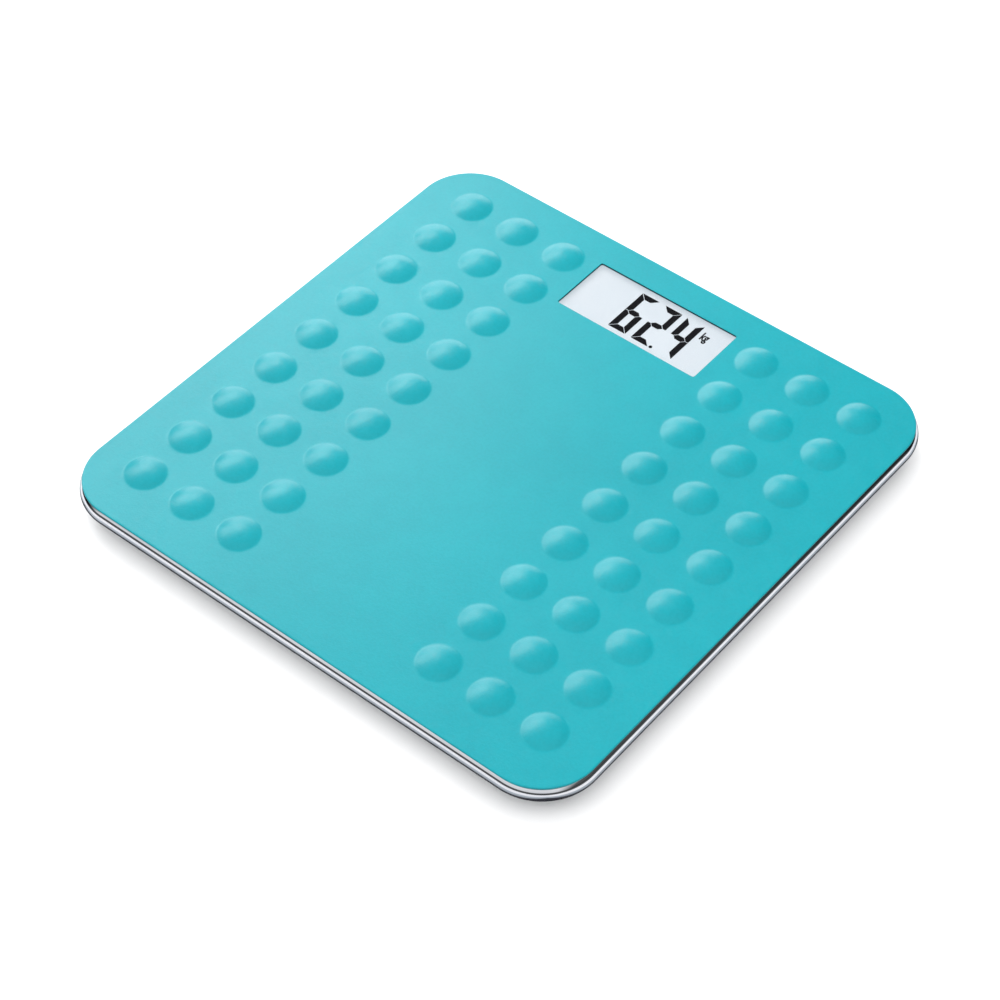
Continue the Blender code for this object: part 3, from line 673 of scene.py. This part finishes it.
def bore(name, radius, bottom, top, middle, steps=48):
    """A round cutter between two heights."""
    return prism(name, round_loop(radius, 0, steps, middle), bottom, top)


def pocket(name, size, bottom, top, middle):
    """A rounded rectangular cutter between two heights."""
    return prism(name, rounded_loop(*size, 0, 6, middle), bottom, top)


def ring_groove(name, size, middle):
    """A ring-shaped cutter in the underside, round one place."""
    radius, width, depth = size
    outer, inner = radius + width / 2, radius - width / 2
    low, high = TRAY_LOW.z - MM, TRAY_LOW.z + depth
    loops = [(inner, low), (outer, low), (outer, high), (inner, high)]
    shape = bmesh.new()
    rings = stack(shape, [round_loop(r, z, 64, middle) for r, z in loops])
    bridge(shape, rings[-1], rings[0])
    return finish_shape(name, shape, [], smooth=False)


def make_tray():
    """The moulded bottom cover, with its wells, doorway and moulded grooves, and its rating plate."""
    half, corner = TRAY_HIGH.x, COVER_CORNER - HEM
    bottom = TRAY_LOW.z

    def bend(inset, radius, turn):
        """A point of the section's rounded lower edge: how far in from the side, and its height."""
        return inset + radius * (1 - math.sin(turn)), bottom + inset + radius * (1 - math.cos(turn))

    section = [bend(0, TRAY_ROUNDING, math.radians(90 * step / 8)) for step in range(9)]
    section += [(0, TRAY_SHOULDER_Z), (TRAY_LIP, TRAY_RIM_Z)]
    section += [(TRAY_WALL - TRAY_LIP, TRAY_RIM_Z), (TRAY_WALL, TRAY_SHOULDER_Z)]
    inner = TRAY_ROUNDING - TRAY_WALL
    section += [bend(TRAY_WALL, inner, math.radians(90 * (1 - step / 6))) for step in range(7)]
    shape = bmesh.new()
    rings = stack(shape, [rounded_loop(half - d, half - d, corner - d, z, 16) for d, z in section])
    shape.faces.new(rings[0])
    shape.faces.new(rings[-1])
    tray = finish_shape("bottom_tray", shape, [GREY_PLASTIC], smooth=False)
    for place in SCREWS:
        carve(tray, [bore("post", POST_RADIUS, bottom + 0.5 * MM, POST_TOP, place)], "UNION")
        head = bore("head", HEAD_WELL_RADIUS, CUT_LOW, bottom + HEAD_WELL_DEPTH, place)
        shank = bore("shank", SHANK_HOLE_RADIUS, CUT_LOW, TRAY_RIM_Z, place)
        carve(tray, [head, shank])

    cutters = []
    for number, (sx, sy) in enumerate(CORNERS.values()):
        place = (sx * FOOT_REACH, sy * FOOT_REACH)
        cutters.append(bore(f"well_{number}", FOOT_WELL_RADIUS, CUT_LOW, CUT_HIGH, place, 72))
        cutters.append(ring_groove(f"groove_{number}", FOOT_GROOVE, place))
    cutters.append(pocket("doorway", DOORWAY, CUT_LOW, CUT_HIGH, DOOR_MIDDLE))
    place = node_middle("unit_button").xy
    cutters.append(bore("button_hole", BUTTON_HOLE_RADIUS, CUT_LOW, CUT_HIGH, place))
    cutters.append(ring_groove("button_ring", BUTTON_GROOVE, place))
    cutters.append(pocket("plate_recess", PLATE_RECESS, CUT_LOW, bottom + PLATE_DEPTH, PLATE_PLACE))
    for side in (-1, 1):
        for n in range(5):
            place = (side * SLOT_REACH, (n - 2) * SLOT_PITCH)
            slot = pocket(f"rib_{side}_{n}", PANEL_SLOT, CUT_LOW, bottom + SLOT_DEPTH, place)
            cutters.append(slot)
    carve(tray, cutters)
    soften(tray, 0.18 * MM, 2, 35)
    dress(tray, GREY_PLASTIC)
    stand_in(tray, "scale", "bottom_cover")

    outline = rounded_loop(*RATING_PLATE, 0, 6, PLATE_PLACE)
    plate = prism("rating_plate", outline, bottom + 0.12 * MM, bottom + PLATE_DEPTH, [PLATE])
    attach(plate, "scale")


def make_screw_mesh(low_z, high_z):
    """A pan head with a cross recess in it, under a short shank."""
    shank, head, head_z, edge = 1.5 * MM, 3.0 * MM, low_z + 1.7 * MM, 0.1 * MM
    profile = [(0, high_z), (0.9 * MM, high_z), (shank, high_z - 0.7 * MM), (shank, head_z)]
    profile += [(head - edge, head_z), (head, head_z - edge), (head, low_z + 0.6 * MM)]
    profile += [(2.8 * MM, low_z + 0.25 * MM), (2.4 * MM, low_z + 0.05 * MM)]
    profile += [(1.9 * MM, low_z), (0, low_z)]
    screw = turned("screw", profile, SCREW_STEEL, (0, 0), 48)
    recess = ((1.6 * MM, 0.35 * MM, 0.2 * MM), (0.35 * MM, 1.6 * MM, 0.2 * MM))
    carve(screw, [pocket("slot", bar, low_z - MM, low_z + MM, (0, 0)) for bar in recess])
    soften(screw, 0.05 * MM, 1, 40)
    mesh = screw.data
    bpy.data.objects.remove(screw, do_unlink=True)
    return mesh


def make_screws():
    """The screws in their wells, each stopped at its own turn."""
    low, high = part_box("cover_screw_1")
    mesh = make_screw_mesh(low.z, high.z)
    for number, (x, y) in enumerate(SCREWS, 1):
        piece = add_object(f"screw_{number}", mesh)
        piece.location = (x, y, 0)
        piece.rotation_euler.z = math.radians(23 * number)
        stand_in(piece, "scale", f"cover_screw_{number}")


def cup_profile(low_z, post_z):
    """(radius, height) down a foot cup: its post, dish, flange and skirt."""
    post, dish, skirt, flange = 5.0 * MM, 15.0 * MM, 17.0 * MM, 19.5 * MM
    dish_z, flange_low, flange_high = 4.0 * MM, 6.9 * MM, 7.9 * MM
    edge, fine = 0.3 * MM, 0.2 * MM
    profile = [(0, post_z), (4.2 * MM, post_z), (post, post_z - 0.9 * MM)]
    profile += [(post, dish_z + edge), (post + edge, dish_z)]
    profile += [(dish - edge, dish_z), (dish, dish_z + edge)]
    profile += [(dish, flange_high - edge), (dish + edge, flange_high)]
    profile += [(flange - fine, flange_high), (flange, flange_high - fine)]
    profile += [(flange, flange_low + fine), (flange - fine, flange_low)]
    profile += [(skirt, flange_low), (skirt, 3.3 * MM), (skirt - fine, 2.8 * MM)]
    return profile + [(16.2 * MM, 2.1 * MM), (15.6 * MM, low_z), (0, low_z)]


def pad_profile(high_z):
    """(radius, height) down a rubber pad, with ring grooves in its tread."""
    radius, edge, groove = 15.0 * MM, 0.2 * MM, 0.4 * MM
    profile = [(0, high_z), (radius - edge, high_z), (radius, high_z - edge)]
    profile += [(radius, 0.35 * MM), (radius - 0.35 * MM, 0.0)]
    for n in range(4):
        outer = (13.0 - 2.8 * n) * MM
        profile += [(outer, 0.0), (outer - 0.25 * MM, groove)]
        profile += [(outer - 0.85 * MM, groove), (outer - 1.1 * MM, 0.0)]
    return profile + [(0, 0.0)]


def make_feet():
    """Each foot's cup, whose post stops just short of the load cell, and its treaded rubber pad."""
    for corner, (sx, sy) in CORNERS.items():
        body, middle = f"foot_{corner}", (sx * FOOT_REACH, sy * FOOT_REACH)
        low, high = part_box(f"foot_cup_{corner}")
        profile = cup_profile(low.z, high.z - POST_CLEARANCE)
        cup = turned(f"cup_{corner}", profile, FOOT_PLASTIC, middle, 72)
        stand_in(cup, body, f"foot_cup_{corner}")
        profile = pad_profile(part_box(f"foot_pad_{corner}")[1].z)
        pad = turned(f"pad_{corner}", profile, FOOT_RUBBER, middle, 72)
        stand_in(pad, body, f"foot_pad_{corner}")


def make_door():
    """The CAD door with its edges rounded, and low ridges beside its finger grip."""
    door = add_object("door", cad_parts["battery_door"].data.copy())
    soften(door, 0.25 * MM, 3, 40)
    dress(door, GREY_PLASTIC)
    stand_in(door, "battery_door", "battery_door")
    shape = bmesh.new()
    for n in range(4):
        place = (DOOR_MIDDLE[0], DOOR_MIDDLE[1] + (4.4 - 2.0 * n) * MM)
        outline = rounded_loop((5.0 - 0.9 * n) * MM, 0.3 * MM, 0.25 * MM, 0, 4, place)
        add_prism(shape, outline, DOOR_LOW.z - 0.2 * MM, DOOR_LOW.z + 0.1 * MM)
    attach(finish_shape("door_ridges", shape, [GREY_PLASTIC], smooth=False), "battery_door")


def make_button():
    """The unit button: its stem, the flange that keeps it in, and its dished face."""
    low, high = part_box("unit_button")
    z = low.z
    stem, flange, face = 1.5 * MM, 5.2 * MM, 3.5 * MM
    flange_low, flange_high, edge = 6.8 * MM, 7.6 * MM, 0.1 * MM
    profile = [(0, high.z), (stem - edge, high.z), (stem, high.z - edge), (stem, flange_high)]
    profile += [(flange - edge, flange_high), (flange, flange_high - edge)]
    profile += [(flange, flange_low + edge), (flange - edge, flange_low), (face, flange_low)]
    profile += [(face, z + 0.5 * MM), (face - edge, z + 0.2 * MM), (3.1 * MM, z), (2.4 * MM, z)]
    profile += [(1.8 * MM, z + 0.15 * MM), (1.0 * MM, z + 0.25 * MM), (0, z + 0.3 * MM)]
    middle = node_middle("unit_button").xy
    button = turned("button", profile, BUTTON_PLASTIC, middle, 48)
    stand_in(button, "unit_button", "unit_button")


# ---- CAD nodes that keep their shape -----------------------------------------------------------
NODE_FINISHES = {
    "display_lens": LENS,
    "lcd_panel": LCD,
    "lcd_holder": WHITE_PLASTIC,
    "connector_strip": CONTACT_RUBBER,
    "circuit_board": BOARD,
    "controller_chip": RESIN,
    "unit_switch": RESIN,
    "board_screw_": SCREW_STEEL,
    "coin_cell": BATTERY_STEEL,
    "battery_contact_": CONTACT,
    "battery_door": GREY_PLASTIC,
    "unit_button": BUTTON_PLASTIC,
    "bottom_cover": GREY_PLASTIC,
    "cover_screw_": SCREW_STEEL,
    "stiffener_": PRESSED,
    "load_cell_seat_": BLACK_PLASTIC,
    "load_cell_lead_": LEAD,
    "load_cell_": CELL_STEEL,
    "strain_gauge_": GAUGE,
    "foot_cup_": FOOT_PLASTIC,
    "foot_pad_": FOOT_RUBBER,
}


def finish_cad_nodes():
    """Gives each CAD node the first finish whose key its name starts with."""
    for name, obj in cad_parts.items():
        finish = next((f for start, f in NODE_FINISHES.items() if name.startswith(start)), None)
        if finish is None:
            continue
        for slot in obj.material_slots:
            slot.material = finish


# ---- Stage: floor, light and camera ------------------------------------------------------------
FLOOR_REACH = 12.0
# (distance from the middle, colour): painted shadow on the floor as the chrome mirrors it, darkest
# beside the scale, and a painted dimmer floor beyond.
FLOOR_PAINTED_SHADOW = [
    (0.155, (0.03, 0.03, 0.035)),
    (0.160, (0.26, 0.28, 0.30)),
    (0.176, (0.26, 0.28, 0.30)),
    (0.184, (0.50, 0.50, 0.51)),
]
WORLD_STRENGTH = 2.0
# (elevation in degrees, tone), from straight down to overhead.
WORLD_TONES = [(-90, 0.8), (-1, 0.8), (0, 0.62), (2.5, 0.5), (4.5, 0.05)]
WORLD_TONES += [(24, 0.04), (27.5, 0.36), (55, 0.42), (89, 0.30)]


def make_floor():
    """White paper. In the chrome it shows painted shade: a painted shadow beside the scale and a
    dimmer floor beyond.
    """
    f = Finish("floor_white", Roughness=0.9, Specular_IOR_Level=0.0)
    paper = f.ramp(f.noise(3, 2), (0.735, 0.737, 0.740), (0.745, 0.746, 0.748))
    reach = f.node("ShaderNodeVectorMath", {0: f.place}, operation="ABSOLUTE").outputs[0]
    x, y, _ = f.node("ShaderNodeSeparateXYZ", {0: reach}).outputs
    distance = f.node("ShaderNodeMath", {0: x, 1: y}, operation="MAXIMUM").outputs[0]
    chrome_shadow = f.node("ShaderNodeValToRGB", {"Fac": distance})
    set_stops(chrome_shadow, FLOOR_PAINTED_SHADOW)
    # Glossy rays see the painted shadow instead of the paper.
    path = f.node("ShaderNodeLightPath").outputs["Is Glossy Ray"]
    inputs = {0: path, 6: paper, 7: chrome_shadow.outputs[0]}
    f.set("Base Color", f.node("ShaderNodeMix", inputs, data_type="RGBA").outputs[2])
    shape = bmesh.new()
    signs = ((-1, -1), (1, -1), (1, 1), (-1, 1))
    shape.faces.new(add_loop(shape, [(sx * FLOOR_REACH, sy * FLOOR_REACH, 0) for sx, sy in signs]))
    finish_shape("floor", shape, [f.material])


def make_world():
    """A pale studio, with a dark belt above the horizon that gives the chrome its streaks.

    Behind the scale its upper part is darker, so that the mat's sheen comes from the key and strip
    lamps alone. It is darker again high on the right, where the chrome has its widest dark streak."""
    world = bpy.data.worlds.new("studio")
    bpy.context.scene.world = world
    world.use_nodes = True
    tree = world.node_tree

    direction = add_node(tree, "ShaderNodeTexCoord").outputs["Generated"]
    up = add_node(tree, "ShaderNodeSeparateXYZ", {0: direction}).outputs["Z"]

    def dimmed(colour, towards, start, end, low, high):
        """The colour, darker in one direction and above a height."""
        inputs = {0: direction, 1: towards}
        dot = add_node(tree, "ShaderNodeVectorMath", inputs, operation="DOT_PRODUCT")
        dark = add_spread(tree, dot.outputs["Value"], start, end, 1.0, 0.12)
        inputs = {0: add_spread(tree, up, low, high, 0.0, 1.0), 6: colour, 7: dark}
        mix = add_node(tree, "ShaderNodeMix", inputs, data_type="RGBA", blend_type="MULTIPLY")
        return mix.outputs[2]

    ramp = add_node(tree, "ShaderNodeValToRGB", {0: add_spread(tree, up, -1, 1, 0, 1)})
    stops = []
    for elevation, tone in WORLD_TONES:
        height = math.sin(math.radians(elevation))
        stops.append((0.5 + 0.5 * height, (tone * 0.98, tone * 0.99, tone)))
    set_stops(ramp, stops)
    shade = dimmed(ramp.outputs[0], (-0.64, 0.77, 0.0), -0.10, 0.15, 0.05, 0.20)
    shade = dimmed(shade, (0.75, 0.66, 0.0), 0.30, 0.60, 0.30, 0.40)
    background = tree.nodes["Background"]
    tree.links.new(shade, background.inputs["Color"])
    background.inputs["Strength"].default_value = WORLD_STRENGTH


def add_area_light(name, place, size, watts, in_reflections=True):
    """A rectangular lamp aimed at the middle of the floor. Some lamps don't show in reflections."""
    light = bpy.data.lights.new(name, "AREA")
    light.shape = "RECTANGLE"
    light.size, light.size_y = size
    light.energy = watts
    lamp = add_object(name, light)
    lamp.location = place
    lamp.rotation_mode = "QUATERNION"
    lamp.rotation_quaternion = (Vector((0, 0, 0)) - Vector(place)).to_track_quat("-Z", "Y")
    lamp.visible_camera = False
    lamp.visible_glossy = in_reflections
    lamp.visible_transmission = in_reflections


def make_camera():
    place = Vector((0.5458, -0.6612, 0.9343))
    aim = Vector((0.0200, -0.0263, 0.0188))
    camera = bpy.data.cameras.new("camera")
    camera.lens = 95.47
    camera.sensor_width = 36
    holder = add_object("camera", camera)
    holder.location = place
    holder.rotation_mode = "QUATERNION"
    roll = Quaternion((0, 0, 1), math.radians(-0.43))
    holder.rotation_quaternion = (aim - place).to_track_quat("-Z", "Y") @ roll
    bpy.context.scene.camera = holder


make_mat()
make_cover()
make_digits()
make_tray()
make_screws()
make_feet()
make_door()
make_button()
finish_cad_nodes()
make_floor()
make_world()
add_area_light("ceiling", (0, 0, 1.6), (6, 6), 200, in_reflections=False)
add_area_light("key", (-1.204, 0.587, 1.047), (1.2, 0.60), 17)
add_area_light("strip", (-0.998, 1.148, 0.344), (1.2, 0.423), 8)
make_camera()
bpy.context.scene.view_settings.view_transform = "Standard"
